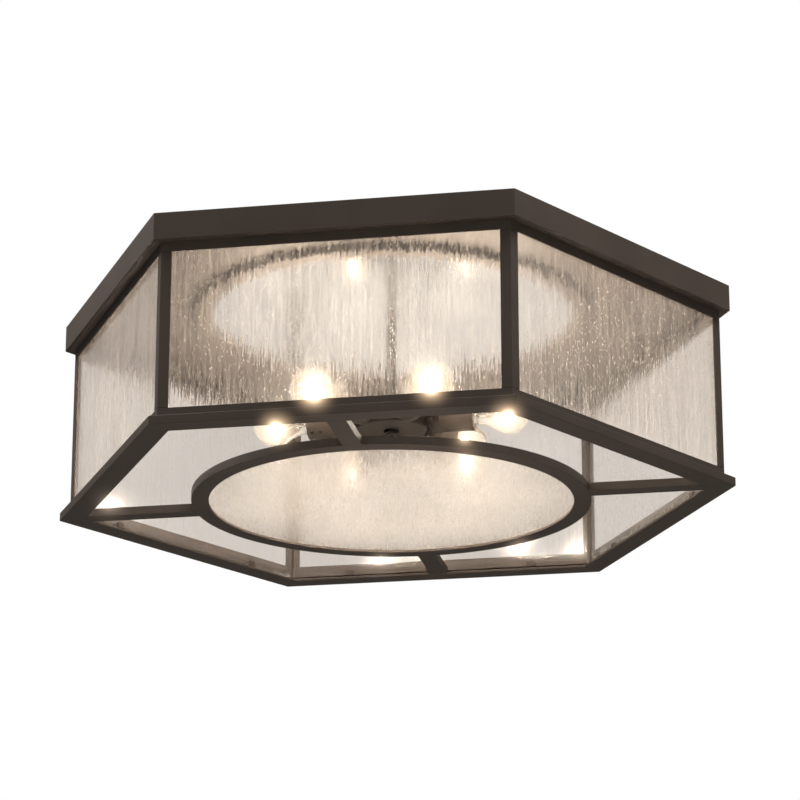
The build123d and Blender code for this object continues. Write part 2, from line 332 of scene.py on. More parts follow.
def surfaced(material, places, sockets):
    """Give a material one surface with these sockets."""
    surface = places.add("BsdfPrincipled", {}, sockets)
    places.add("OutputMaterial", {}, {"Surface": surface})
    return material


def glazed(material, places, sockets, glow, haze):
    """Give a material a surface of clear glass that scatters a share of light, the haze, in one colour."""
    clear = {**sockets, "IOR": GLASS_IOR, "Transmission Weight": 1.0}
    layers = {
        0: haze,
        1: places.add("BsdfPrincipled", {}, clear),
        2: places.add("BsdfTranslucent", {}, {"Color": glow}),
    }
    places.add("OutputMaterial", {}, {"Surface": places.add("MixShader", {}, layers)})
    return material


def bronze_paint(settings):
    """Satin dark bronze paint with the fine dimples of a sprayed coat."""
    material, places = new_finish("bronze_paint")
    patches = places.noise(14, 4)
    dimples = places.noise(700, 2)
    specks = places.noise(2400, 1)
    tone = patches.ramp(0.3, 0.7) * 0.6 + specks * 0.4
    sockets = {
        "Base Color": tone.blend(opaque(settings.paint), opaque(settings.paint_light)),
        "Roughness": (patches - 0.5) * 0.16 + (specks - 0.5) * 0.12 + settings.paint_roughness,
        "Specular IOR Level": 0.16,
        "Normal": (dimples + specks * 0.3).bump(0.06 * MILLIMETRE),
    }
    return surfaced(material, places, sockets)


def plated_steel():
    """Dull zinc-plated sheet steel, with fine spangle and rolling lines."""
    material, places = new_finish("plated_steel")
    brushed = places.scaled((1, 1, 12)).noise(260, 3)
    spangle = places.noise(120, 3)
    sockets = {
        "Base Color": spangle.ramp(0.35, 0.65).blend((0.118, 0.095, 0.077, 1), (0.19, 0.154, 0.126, 1)),
        "Metallic": 0.25,
        "Roughness": 0.4 + brushed * 0.2,
        "Normal": brushed.bump(0.02 * MILLIMETRE),
    }
    return surfaced(material, places, sockets)


def seedy_glass(name, settings, direction, smear, haze, contrast, blur):
    """Drawn glass: streaks along one direction lean its faces, and streaks and seeds scatter some light.

    contrast is how far the scattering follows streaks and seeds instead of being even, and blur is the
    roughness of the face that the mesh marks as matt.
    """
    material, places = new_finish(name)
    drawn = places.squeezed(direction, settings.streak_width / settings.streak_length)
    streaks = drawn.noise(1 / settings.streak_width, 2, 0.6)
    fine = places.squeezed(direction, 0.12).noise(1.4 / settings.streak_width, 2, 0.6)
    bands = places.squeezed(direction, 0.02).noise(0.6 / settings.streak_width, 2, 0.6)
    tilt = (streaks + fine - 1.0) * smear
    lean = places.add("VectorMath", {"operation": "SCALE"}, {0: direction, "Scale": tilt})
    face = places.add("NewGeometry", {}, {}, output="Normal")
    leaning = places.add("VectorMath", {"operation": "ADD"}, {0: face, 1: lean})
    normal = places.add("VectorMath", {"operation": "NORMALIZE"}, {0: leaning})
    cell = {"Vector": places.squeezed(direction, 0.4), "Scale": 1 / settings.seed_spacing}
    middle = places.add("TexVoronoi", {}, cell)
    lot = places.add("TexVoronoi", {}, cell, output=1)
    chosen = places.add("SeparateColor", {}, {0: lot}).ramp(0.4, 0.8)
    seeds = middle.ramp(0.3, 0.05) * chosen
    matt = places.add("Attribute", {"attribute_name": MATT}, {}, output="Fac")
    sockets = {
        "Base Color": bands.ramp(0.35, 0.6).blend(opaque(settings.tint), (1, 1, 1, 1)),
        "Roughness": (blur + fine * 0.08) * matt,
        "Normal": seeds.bump(0.11 * contrast * MILLIMETRE, Normal=normal),
    }
    lines = streaks.ramp(0.5, 0.66) + fine.ramp(0.5, 0.66) + bands.ramp(0.47, 0.62) * 0.7
    marks = lines + seeds * settings.seed_glow
    share = (marks * contrast + (0.8 - 0.8 * contrast)) * haze
    return glazed(material, places, sockets, opaque(settings.glow), share)


def polished_reflector():
    """Bright rolled aluminium, with the faint waves and hairlines of a thin polished sheet."""
    material, places = new_finish("polished_reflector")
    waves = places.scaled((1, 0.3, 1)).noise(16, 2)
    hairlines = places.scaled((1, 0.02, 1)).noise(1500, 2)
    sockets = {
        "Base Color": waves.blend((0.85, 0.865, 0.875, 1), (0.90, 0.915, 0.925, 1)),
        "Metallic": 0.91,
        "Roughness": 0.1 + hairlines * 0.14,
        "Normal": (waves * 0.5 + hairlines * 0.02).bump(0.5 * MILLIMETRE),
    }
    return surfaced(material, places, sockets)


def porcelain():
    """Glazed ivory porcelain with a few dark specks."""
    material, places = new_finish("porcelain")
    cloud = places.noise(60, 2)
    specks = places.noise(1900, 1).ramp(0.72, 0.76)
    glaze = cloud.blend((0.80, 0.76, 0.68, 1), (0.86, 0.83, 0.77, 1))
    sockets = {
        "Base Color": specks.blend(glaze, (0.36, 0.30, 0.23, 1)),
        "Roughness": 0.16 + cloud * 0.14,
        "Coat Weight": 0.4,
        "Normal": places.noise(420, 2).bump(0.05 * MILLIMETRE),
    }
    return surfaced(material, places, sockets)


def metal(name, dark, light, roughness):
    """Thin drawn metal with handling marks."""
    material, places = new_finish(name)
    drawn = places.scaled((0.2, 1, 1)).noise(500, 3)
    marks = places.noise(130, 3).ramp(0.4, 0.7)
    sockets = {
        "Base Color": marks.blend(dark, light),
        "Metallic": 1.0,
        "Roughness": drawn * 0.16 + marks * 0.08 + (roughness - 0.1),
        "Normal": drawn.bump(0.015 * MILLIMETRE),
    }
    return surfaced(material, places, sockets)


def dark_steel():
    """Blackened steel of the small fasteners."""
    return metal("dark_steel", (0.016, 0.014, 0.012, 1), (0.03, 0.026, 0.023, 1), 0.5)


def lamp_glass(settings):
    """Thin clear blown glass, a little uneven, with the faint bloom that makes a lit bulb glow."""
    material, places = new_finish("lamp_glass")
    uneven = places.noise(55, 2)
    sockets = {
        "Base Color": uneven.blend((0.97, 0.94, 0.89, 1), (1.0, 0.99, 0.97, 1)),
        "Roughness": 0.01 + uneven * 0.02,
        "Normal": uneven.bump(0.3 * MILLIMETRE),
    }
    share = (0.6 + uneven * 0.8) * settings.bulb_haze
    return glazed(material, places, sockets, (1.0, 0.91, 0.80, 1), share)


def lamp_insulator():
    """Black moulded glass of a lamp's end."""
    material, places = new_finish("lamp_insulator")
    flow = places.noise(220, 3)
    sockets = {
        "Base Color": flow.blend((0.012, 0.011, 0.012, 1), (0.035, 0.032, 0.034, 1)),
        "Roughness": 0.16 + flow * 0.2,
        "Normal": flow.bump(0.08 * MILLIMETRE),
    }
    return surfaced(material, places, sockets)


def glowing_filament(settings):
    """Tungsten wire at white heat, a little cooler in places."""
    material, places = new_finish("filament")
    material.cycles.emission_sampling = "NONE"
    red, green, blue = settings.light
    cooler = red, green * 0.86, blue * 0.68
    sockets = {
        "Base Color": (0.2, 0.19, 0.18, 1),
        "Metallic": 1.0,
        "Roughness": 0.5,
        "Emission Color": places.noise(300, 1).blend(opaque(cooler), opaque(settings.light)),
        "Emission Strength": settings.filament_strength,
    }
    return surfaced(material, places, sockets)


def pale_floor():
    """Matt pale floor with faint unevenness."""
    material, places = new_finish("studio_floor")
    cloud = places.noise(3, 3)
    sockets = {
        "Base Color": cloud.blend((0.66, 0.655, 0.65, 1), (0.70, 0.695, 0.69, 1)),
        "Roughness": 0.7 + cloud * 0.2,
    }
    return surfaced(material, places, sockets)


# Meshes


def to_mesh(name, bm):
    """Turn a bmesh into a smooth-shaded mesh with outward normals."""
    bmesh.ops.recalc_face_normals(bm, faces=bm.faces)
    for face in bm.faces:
        face.smooth = True
    mesh = bpy.data.meshes.new(name)
    bm.to_mesh(mesh)
    bm.free()
    return mesh


def bridge(bm, here, there):
    """Join two closed rows of points with faces."""
    for step in range(len(here)):
        bm.faces.new((here[step - 1], here[step], there[step], there[step - 1]))


def bridge_round(bm, rows):
    """Join each closed row of points with the next, and the last with the first."""
    for place in range(len(rows)):
        bridge(bm, rows[place - 1], rows[place])


def soften(bm, radius):
    """Round every sharp edge."""
    sharp = [edge for edge in bm.edges if edge.is_manifold and edge.calc_face_angle() > SHARP]
    bmesh.ops.bevel(
        bm, geom=sharp, offset=radius, segments=2, profile=0.5, affect="EDGES", clamp_overlap=True
    )


def softened_node(node, radius):
    """A node's own shape with its edges rounded."""
    bm = bmesh.new()
    bm.from_mesh(frame["nodes"][node].data)
    bmesh.ops.remove_doubles(bm, verts=bm.verts, dist=SAME_POINT)
    bmesh.ops.dissolve_limit(bm, angle_limit=FLAT, verts=bm.verts, edges=bm.edges)
    soften(bm, radius)
    return to_mesh(node, bm)


def hexagon_ring(name, section, radius):
    """A bar carried round six welded corners. Its section has distances from the axis and levels."""
    bm = bmesh.new()
    spread = 1 / cos(pi / SIDES)
    corners = []
    for corner in range(SIDES):
        turn = 2 * pi * corner / SIDES
        row = []
        for far, z in section:
            row.append(bm.verts.new((far * spread * cos(turn), far * spread * sin(turn), z)))
        corners.append(row)
    bridge_round(bm, corners)
    bmesh.ops.recalc_face_normals(bm, faces=bm.faces)
    soften(bm, radius)
    return to_mesh(name, bm)


def rounded(points, radius, parts=4):
    """A closed outline with its corners rounded. Corners on the axis stay sharp."""
    edge_share = 0.45
    outline = []
    for place, point in enumerate(points):
        here = Vector(point)
        if here.y == 0:
            outline.append(here)
            continue
        back = Vector(points[place - 1]) - here
        on = Vector(points[(place + 1) % len(points)]) - here
        start = here + back.normalized() * min(radius, edge_share * back.length)
        end = here + on.normalized() * min(radius, edge_share * on.length)
        for part in range(parts + 1):
            share = part / parts
            outline.append(start.lerp(here, share).lerp(here.lerp(end, share), share))
    return outline


def thread_dip(along, turn, pitch, depth, start, end):
    """How far a thread goes in at a place along and round it. It fades out over one pitch at its ends."""
    fade = max(0, min(1, (along - start) / pitch, (end - along) / pitch))
    return fade * depth * (0.5 - 0.5 * cos(2 * pi * (along / pitch - turn)))


def turned(name, outline, steps, upright=False, thread=None):
    """A body turned about X, or about Z if upright. Its outline has distances along the axis and radii.

    thread is a pitch, a depth and the two ends of the threaded length. Only the widest points take it.
    """
    bm = bmesh.new()
    rows = []
    widest = max(radius for along, radius in outline)
    for along, radius in outline:
        row = []
        for step in range(steps):
            turn = step / steps
            around = radius
            if thread and radius > widest - SAME_POINT:
                around -= thread_dip(along, turn, *thread)
            across = around * cos(2 * pi * turn)
            side = around * sin(2 * pi * turn)
            row.append(bm.verts.new((across, side, along) if upright else (along, across, side)))
        rows.append(row)
    bridge_round(bm, rows)
    bmesh.ops.remove_doubles(bm, verts=bm.verts, dist=SAME_POINT)
    bmesh.ops.delete(bm, geom=[edge for edge in bm.edges if not edge.link_faces], context="EDGES")
    return to_mesh(name, bm)


def divided(start, end, length, radius):
    """Points of an outline along one radius, no further apart than length."""
    parts = ceil(abs(end - start) / length)
    return [(start + (end - start) * part / parts, radius) for part in range(parts + 1)]


def repeated(name, mesh, places):
    """One mesh with a copy of another at each place. The other is deleted."""
    bm = bmesh.new()
    for place in places:
        first = len(bm.verts)
        bm.from_mesh(mesh)
        bm.verts.ensure_lookup_table()
        bmesh.ops.transform(bm, matrix=place, verts=bm.verts[first:])
    bpy.data.meshes.remove(mesh)
    return to_mesh(name, bm)


def tube(bm, path, radius, sides):
    """Add a closed round wire along a path to a bmesh."""
    rows = []
    side = (path[1] - path[0]).orthogonal().normalized()
    for place, point in enumerate(path):
        ahead = path[min(place + 1, len(path) - 1)] - path[max(place - 1, 0)]
        ahead.normalize()
        side = (side - ahead * side.dot(ahead)).normalized()
        other = ahead.cross(side)
        row = []
        for step in range(sides):
            turn = 2 * pi * step / sides
            row.append(bm.verts.new(point + (side * cos(turn) + other * sin(turn)) * radius))
        rows.append(row)
    for here, there in zip(rows, rows[1:]):
        bridge(bm, here, there)
    bm.faces.new(rows[0])
    bm.faces.new(rows[-1])


def put(name, mesh, finish, slot, *nodes, body=hanging, place=None):
    """Put a mesh in the scene as a piece that rides on a body and stands for nodes."""
    piece = bpy.data.objects.new(name, mesh)
    bpy.context.scene.collection.objects.link(piece)
    if not mesh.materials:
        mesh.materials.append(finish)
    if place:
        piece.matrix_world = place
    even = piece.modifiers.new("even_shading", "WEIGHTED_NORMAL")
    even.keep_sharp = True
    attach(piece, body)
    if nodes:
        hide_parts(*nodes)
    return piece


def keep_clear(piece):
    """Let the lamps shine through a clear piece, and list it among the clear ones."""
    piece.visible_shadow = False
    clear = bpy.data.collections.get("clear_pieces") or bpy.data.collections.new("clear_pieces")
    clear.objects.link(piece)


def lamp_place(lamp):
    """Where a lamp's own axis lies: X along it, from the stem's axis outwards."""
    return Matrix.Rotation(2 * pi * (lamp - 1) / LAMPS, 4, "Z") @ Matrix.Translation((0, 0, lamp_level))


# Cap, cage, bottom frame and rings


class CEILINGLIGHT_OT_cap_and_cage(Operator):
    """Build the painted cap, the cage of rails and posts, and the bottom frame with its spokes"""

    bl_idname = "ceiling_light.cap_and_cage"
    bl_label = "Cap, cage and bottom frame"

    def execute(self, context):
        settings = context.scene.ceiling_light_bronze
        paint = shared_finish("bronze_paint", bronze_paint, settings)
        edge = settings.edge

        low, high = level("pan_skirt")
        skirt = cap_apothem - settings.sheet
        skirt_section = [(skirt, low), (cap_apothem, low), (cap_apothem, high), (skirt, high)]

        cage = reach("corner_posts", 1)
        inner = cage - settings.sheet
        rail_low, ledge_high = level("upper_rails")
        ledge_low = ledge_high - settings.sheet
        upper_section = [(inner, ledge_high), (inner, rail_low), (cage, rail_low)]
        upper_section += [(cage, ledge_low), (skirt, ledge_low), (skirt, ledge_high)]

        ledge_low, rail_high = level("lower_rails")
        frame_low, frame_high = level("bottom_flange")
        wall = cap_apothem - settings.bar
        lower_section = [(inner, ledge_low), (wall, ledge_low), (wall, frame_high)]
        lower_section += [(cage, frame_high), (cage, rail_high), (inner, rail_high)]

        leg = cap_apothem - settings.frame_leg
        leg_high = frame_low + settings.bar
        frame_section = [(leg, frame_low), (cap_apothem, frame_low), (cap_apothem, frame_high)]
        frame_section += [(wall, frame_high), (wall, leg_high), (leg, leg_high)]

        bars = (
            ("skirt", skirt_section, "pan_skirt"),
            ("top_rails", upper_section, "upper_rails"),
            ("bottom_rails", lower_section, "lower_rails"),
            ("bottom_frame", frame_section, "bottom_flange"),
        )
        for name, section, node in bars:
            put(name, hexagon_ring(name, section, edge), paint, "bronze_paint", node)
        put("posts", softened_node("corner_posts", edge), paint, "bronze_paint", "corner_posts")
        steel = shared_finish("plated_steel", plated_steel)
        put("top_plate", softened_node("pan_plate", edge), steel, "plated_steel", "pan_plate")
        for side in ("right", "back", "left", "front"):
            node = f"{side}_spoke"
            put(f"spoke_{side}", softened_node(node, edge), paint, "bronze_paint", node)
        return {"FINISHED"}


class CEILINGLIGHT_OT_rings(Operator):
    """Build the rolled rings that hold the bottom disc and the reflector"""

    bl_idname = "ceiling_light.rings"
    bl_label = "Rolled rings"

    def execute(self, context):
        settings = context.scene.ceiling_light_bronze
        paint = shared_finish("bronze_paint", bronze_paint, settings)
        steel = shared_finish("plated_steel", plated_steel)
        rings = (
            ("bottom_ring", "disc_ring", paint, "bronze_paint"),
            ("upper_ring", "reflector_ring", steel, "plated_steel"),
        )
        for node, name, finish, slot in rings:
            low, high = level(node)
            outer = reach(node, 0)
            leg = outer - settings.ring_leg
            wall = outer - settings.bar
            leg_high = low + settings.bar
            section = [(low, leg), (low, outer), (high, outer)]
            section += [(high, wall), (leg_high, wall), (leg_high, leg)]
            mesh = turned(name, rounded(section, settings.edge), steps=192, upright=True)
            put(name, mesh, finish, slot, node)
        return {"FINISHED"}


# Glass


def rippled(settings, across, along, seed):
    """Depth of the waves at a place on the glass, from 0 to the whole ripple: short waves on long ones."""
    long_waves_across = 14
    long_waves_along = 9
    short = Vector((across / settings.wave_width, along / settings.wave_length, seed))
    long = Vector((across * long_waves_across, along * long_waves_along, seed + 5))
    return settings.ripple * (0.5 + 0.35 * noise.noise(short) + 0.15 * noise.noise(long))


def pane_mesh(name, node, side, settings):
    """A flat pane whose two faces are gently waved by the drawing. Its inner face is matt."""
    columns = 150
    rows = 16
    upright = Matrix.Rotation(2 * pi * (side - 0.5) / SIDES, 3, "Z")
    low, high = level(node)
    front_low, front_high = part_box(FRONT_PANE)
    width = front_high.x - front_low.x
    bm = bmesh.new()
    matt = bm.verts.layers.float.new(MATT)
    rims = []
    for far, inward in ((-front_low.y, -1), (-front_high.y, 1)):
        grid = []
        for row in range(rows + 1):
            z = low + (high - low) * row / rows
            line = []
            for column in range(columns + 1):
                across = width * (column / columns - 0.5)
                depth = far + inward * rippled(settings, across, z, 10 * side + inward)
                point = bm.verts.new(upright @ Vector((depth, across, z)))
                point[matt] = max(0, inward)
                line.append(point)
            grid.append(line)
        for here, there in zip(grid, grid[1:]):
            for column in range(columns):
                bm.faces.new((here[column], here[column + 1], there[column + 1], there[column]))
        right = [line[-1] for line in grid[1:-1]]
        left = [line[0] for line in grid[1:-1]]
        rims.append(grid[0] + right + grid[-1][::-1] + left[::-1])
    bridge(bm, *rims)
    return to_mesh(name, bm)


def disc_mesh(name, node, settings):
    """The round bottom glass, waved along one direction as it was drawn. Its upper face is matt."""
    rings = 44
    steps = 176
    low, high = level(node)
    radius = reach(node, 0)
    bm = bmesh.new()
    matt = bm.verts.layers.float.new(MATT)
    rims = []
    for far, inward in ((low, 1), (high, -1)):
        middle = bm.verts.new((0, 0, far + inward * rippled(settings, 0, 0, inward)))
        middle[matt] = max(0, -inward)
        before = None
        for ring in range(1, rings + 1):
            line = []
            for step in range(steps):
                x = radius * ring / rings * cos(2 * pi * step / steps)
                y = radius * ring / rings * sin(2 * pi * step / steps)
                point = bm.verts.new((x, y, far + inward * rippled(settings, x, y, inward)))
                point[matt] = max(0, -inward)
                line.append(point)
            if before:
                bridge(bm, before, line)
            else:
                for step in range(steps):
                    bm.faces.new((middle, line[step], line[step - 1]))
            before = line
        rims.append(before)
    bridge(bm, *rims)
    return to_mesh(name, bm)


class CEILINGLIGHT_OT_glass(Operator):
    """Glaze the six sides and the bottom ring with drawn seeded glass"""

    bl_idname = "ceiling_light.glass"
    bl_label = "Panes and bottom disc"

    def execute(self, context):
        settings = context.scene.ceiling_light_glass
        upright = 0, 0, 1
        standing = seedy_glass(
            "seedy_glass_sides", settings, upright, settings.smear, settings.haze, contrast=1.0, blur=0.09
        )
        for side in SIDE_NUMBERS:
            node = f"side_glass_{side}"
            mesh = pane_mesh(f"pane_{side}", node, side, settings)
            keep_clear(put(f"pane_{side}", mesh, standing, "seedy_glass", node))

        lengthwise = -sin(settings.disc_turn), cos(settings.disc_turn), 0
        smear = settings.disc_smear
        haze = settings.disc_haze
        lying = seedy_glass("seedy_glass_disc", settings, lengthwise, smear, haze, contrast=0.1, blur=0.175)
        mesh = disc_mesh("disc", "bottom_glass", settings)
        keep_clear(put("disc", mesh, lying, "seedy_glass", "bottom_glass"))
        return {"FINISHED"}


# Reflector, stem, hub and fasteners


class CEILINGLIGHT_OT_reflector(Operator):
    """Build the polished reflector over the lamps"""

    bl_idname = "ceiling_light.reflector"
    bl_label = "Reflector"

    def execute(self, context):
        low, high = level("reflector")
        outer = reach("reflector", 0)
        section = [(low, stem_hole), (low, outer), (high, outer), (high, stem_hole)]
        outline = rounded(section, 0.5 * MILLIMETRE)
        mesh = turned("reflector_sheet", outline, steps=160, upright=True)
        put("reflector_sheet", mesh, polished_reflector(), "polished_reflector", "reflector")
        return {"FINISHED"}


def nut_mesh(name, across_flats, thickness, hole):
    """A hexagon nut with both faces chamfered to a circle."""
    steps = 72
    chamfer = tan(radians(30))
    flat = across_flats / 2
    face = flat * 0.97
    bm = bmesh.new()
    rows = [[], [], [], [], [], []]
    for step in range(steps):
        turn = 2 * pi * step / steps
        from_flat = (turn + pi / 6) % (pi / 3) - pi / 6
        far = flat / cos(from_flat)
        drop = (far - face) * chamfer
        stations = [(hole, 0), (face, 0), (far, drop)]
        stations += [(far, thickness - drop), (face, thickness), (hole, thickness)]
        for row, (radius, z) in zip(rows, stations):
            row.append(bm.verts.new((radius * cos(turn), radius * sin(turn), z)))
    bridge_round(bm, rows)
    soften(bm, 0.12 * MILLIMETRE)
    return to_mesh(name, bm)


class CEILINGLIGHT_OT_stem_and_fasteners(Operator):
    """Build the crossbar, the threaded stem with its nuts, and the clips that hold the panes"""

    bl_idname = "ceiling_light.stem_and_fasteners"
    bl_label = "Stem, crossbar, nuts and clips"

    def execute(self, context):
        steel = shared_finish("plated_steel", plated_steel)
        paint = shared_finish("bronze_paint", bronze_paint, context.scene.ceiling_light_bronze)
        dark = shared_finish("dark_steel", dark_steel)
        low, high = level("stem")
        bore = stem_radius - 1.9 * MILLIMETRE
        pitch = thread_pitch(27)
        thread_depth = 0.5 * MILLIMETRE
        outline = divided(low, high, pitch / 4, stem_radius) + [(high, bore), (low, bore)]
        thread = pitch, thread_depth, low, high
        stem = turned("threaded_stem", outline, steps=20, upright=True, thread=thread)
        put("threaded_stem", stem, paint, "plated_steel", "stem")

        across_flats = 15.9 * MILLIMETRE
        thickness = 3.6 * MILLIMETRE
        plate_low, plate_high = level("pan_plate")
        hub_low, hub_high = level("hub")
        undersides = plate_high, plate_low - thickness, hub_high, hub_low - thickness
        nut = nut_mesh("nut", across_flats, thickness, stem_radius + 0.1 * MILLIMETRE)
        nuts = repeated("nuts", nut, [Matrix.Translation((0, 0, z)) for z in undersides])
        put("nuts", nuts, dark, "bronze_paint", "stem_nuts")

        put("box_crossbar", softened_node("crossbar", 0.4 * MILLIMETRE), steel, "plated_steel", "crossbar")
        put("clips", softened_node("glass_clips", 0.3 * MILLIMETRE), paint, "bronze_paint", "glass_clips")
        return {"FINISHED"}


class CEILINGLIGHT_OT_hub(Operator):
    """Build the wiring hub and its cover"""

    bl_idname = "ceiling_light.hub"
    bl_label = "Hub and cover"

    def execute(self, context):
        paint = shared_finish("bronze_paint", bronze_paint, context.scene.ceiling_light_bronze)
        low, high = level("hub")
        outer = reach("hub", 0)
        wall = 3 * MILLIMETRE
        cover_low, cover_high = level("hub_cover")
        cover = reach("hub_cover", 0)
        rebate = cover + 0.2 * MILLIMETRE
        section = [(high, stem_hole), (high, outer), (low, outer), (low, rebate)]
        section += [(cover_high, rebate), (cover_high, outer - wall)]
        section += [(high - wall, outer - wall), (high - wall, stem_hole)]
        body = turned("hub_body", rounded(section, 1.2 * MILLIMETRE), steps=96, upright=True)
        put("hub_body", body, paint, "bronze_paint", "hub")

        section = [(cover_high, stem_hole), (cover_high, cover), (cover_low, cover), (cover_low, stem_hole)]
        lid = turned("hub_lid", rounded(section, 0.6 * MILLIMETRE), steps=96, upright=True)
        put("hub_lid", lid, paint, "bronze_paint", "hub_cover")
        return {"FINISHED"}


# Lampholders


class CEILINGLIGHT_OT_lampholders(Operator):
    """Build the six cups with their rivets, porcelain liners, threaded sleeves and contacts"""

    bl_idname = "ceiling_light.lampholders"
    bl_label = "Lampholders"

    def execute(self, context):
        mouth = reach("socket_1", 0)
        radius = lying_radius("socket_1")
        wall = 1.4 * MILLIMETRE
        slim = radius - 0.4 * MILLIMETRE
        self.put_cups(context, mouth, radius, slim, wall)
        self.put_rivets(mouth, slim)
        self.put_insides(context.scene.ceiling_light_lamps, mouth, radius - wall)
        return {"FINISHED"}

    def put_cups(self, context, mouth, radius, slim, wall):
        """The cups, a little slimmer than their rolled mouths, with a pressed bead near the back."""
        paint = shared_finish("bronze_paint", bronze_paint, context.scene.ceiling_light_bronze)
        neck_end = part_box("socket_1")[0].x
        neck = 6.5 * MILLIMETRE
        bore = 3.6 * MILLIMETRE
        back = reach("hub", 0) + 4 * MILLIMETRE
        bead = back + 13 * MILLIMETRE
        bead_half = 1.6 * MILLIMETRE
        section = [
            (neck_end, bore),
            (neck_end, neck),
            (back, neck),
            (back, slim - 6 * MILLIMETRE),
            (back + 1.8 * MILLIMETRE, slim - 1.8 * MILLIMETRE),
            (back + 6 * MILLIMETRE, slim),
            (bead - bead_half, slim),
            (bead, radius),
            (bead + bead_half, slim),
            (mouth - 3.4 * MILLIMETRE, slim),
            (mouth - 2.2 * MILLIMETRE, radius),
            (mouth, radius),
            (mouth, radius - wall),
            (back + 7 * MILLIMETRE, radius - wall),
            (back + wall, radius - 7 * MILLIMETRE),
            (back + wall, bore),
        ]
        cup = turned("cup", rounded(section, 1.0 * MILLIMETRE), steps=72)
        for lamp in LAMP_NUMBERS:
            put(f"cup_{lamp}", cup, paint, "bronze_paint", f"socket_{lamp}", place=lamp_place(lamp))

    def put_rivets(self, mouth, slim):
        """Two small rivets with domed heads on the side of each cup."""
        dome = [(0, 0), (0, 2.0), (0.5, 1.9), (0.9, 1.3), (1.05, 0)]
        rivet = turned("rivet", [(MILLIMETRE * along, MILLIMETRE * far) for along, far in dome], steps=16)
        from_mouth = 6 * MILLIMETRE, 15 * MILLIMETRE
        sunk = Matrix.Translation((slim - 0.2 * MILLIMETRE, 0, 0))
        outwards = Matrix.Rotation(radians(-52), 4, "X") @ Matrix.Rotation(pi / 2, 4, "Z")
        spots = []
        for lamp in LAMP_NUMBERS:
            for along in from_mouth:
                spot = Matrix.Translation((mouth - along, 0, 0)) @ outwards
                spots.append(lamp_place(lamp) @ spot @ sunk)
        dark = shared_finish("dark_steel", dark_steel)
        put("cup_rivets", repeated("cup_rivets", rivet, spots), dark, "bronze_paint")

    def put_insides(self, lamps, mouth, cup_inner):
        """The liners, and in them the sleeves and contacts. A sleeve's thread has the lamp's own pitch."""
        places = [lamp_place(lamp) for lamp in LAMP_NUMBERS]
        brass = metal("brass", (0.50, 0.33, 0.13, 1), (0.66, 0.47, 0.21, 1), 0.3)
        liner_mouth = mouth - 3 * MILLIMETRE
        liner_back = liner_mouth - 41 * MILLIMETRE
        sleeve = 13.45 * MILLIMETRE
        hollow = sleeve + 0.5 * MILLIMETRE
        contact_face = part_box("bulb_tip_1")[0].x - 0.3 * MILLIMETRE
        floor = contact_face - 4 * MILLIMETRE
        outer = cup_inner - 0.2 * MILLIMETRE
        section = [(liner_back, 0), (liner_back, outer), (liner_mouth, outer)]
        section += [(liner_mouth, hollow), (floor, hollow), (floor, 0)]
        liner = turned("liner", rounded(section, 0.9 * MILLIMETRE), steps=64)
        put("liners", repeated("liners", liner, places), porcelain(), "porcelain", "socket_liners")

        sleeve_mouth = liner_mouth - 2 * MILLIMETRE
        outline = divided(floor, sleeve_mouth, lamps.pitch / 8, hollow)
        outline += [(sleeve_mouth, sleeve), (floor, sleeve)]
        thread = lamps.pitch, 0.35 * MILLIMETRE, floor, sleeve_mouth
        shell = turned("sleeve", outline, steps=48, thread=thread)
        put("sleeves", repeated("sleeves", shell, places), brass, "brass", "socket_screw_shells")

        contact = 4.5 * MILLIMETRE
        section = [(floor, 0), (floor, contact), (contact_face - 1.5 * MILLIMETRE, contact)]
        section += [(contact_face, 0.4 * contact), (contact_face, 0)]
        button = turned("button", rounded(section, 0.6 * MILLIMETRE), steps=32)
        put("contacts", repeated("contacts", button, places), brass, "brass", "socket_contacts")


# Lamps


def bulb_outline(start, end, neck, globe, centre):
    """Half outline of a bulb: a straight neck, a hollow curve and a round globe."""
    neck_parts = 12
    globe_parts = 32
    run = centre - end
    hollow = (run**2 + neck**2 - globe**2) / (2 * (globe - neck))
    meet = atan2(neck + hollow, -run)
    outline = [(start, neck)]
    for part in range(neck_parts + 1):
        turn = -pi / 2 + (meet - pi / 2) * part / neck_parts
        outline.append((end + hollow * cos(turn), neck + hollow + hollow * sin(turn)))
    for part in range(1, globe_parts + 1):
        turn = meet * (1 - part / globe_parts)
        outline.append((centre + globe * cos(turn), globe * sin(turn)))
    return outline


def coil_path(turns, radius, wire_end, spread, rise):
    """Middle line of the filament: a fine coil on a bow between the two lead wires."""
    steps = turns * 10
    path = []
    for step in range(steps + 1):
        share = step / steps
        across = spread * (2 * share - 1)
        slope = -2 * rise * across / spread**2
        along = wire_end + rise * (1 - (across / spread) ** 2)
        normal = Vector((1, 0, -slope)).normalized()
        turn = 2 * pi * turns * share
        around = normal * cos(turn) + Vector((0, 1, 0)) * sin(turn)
        path.append(Vector((along, 0, across)) + around * radius)
    return path


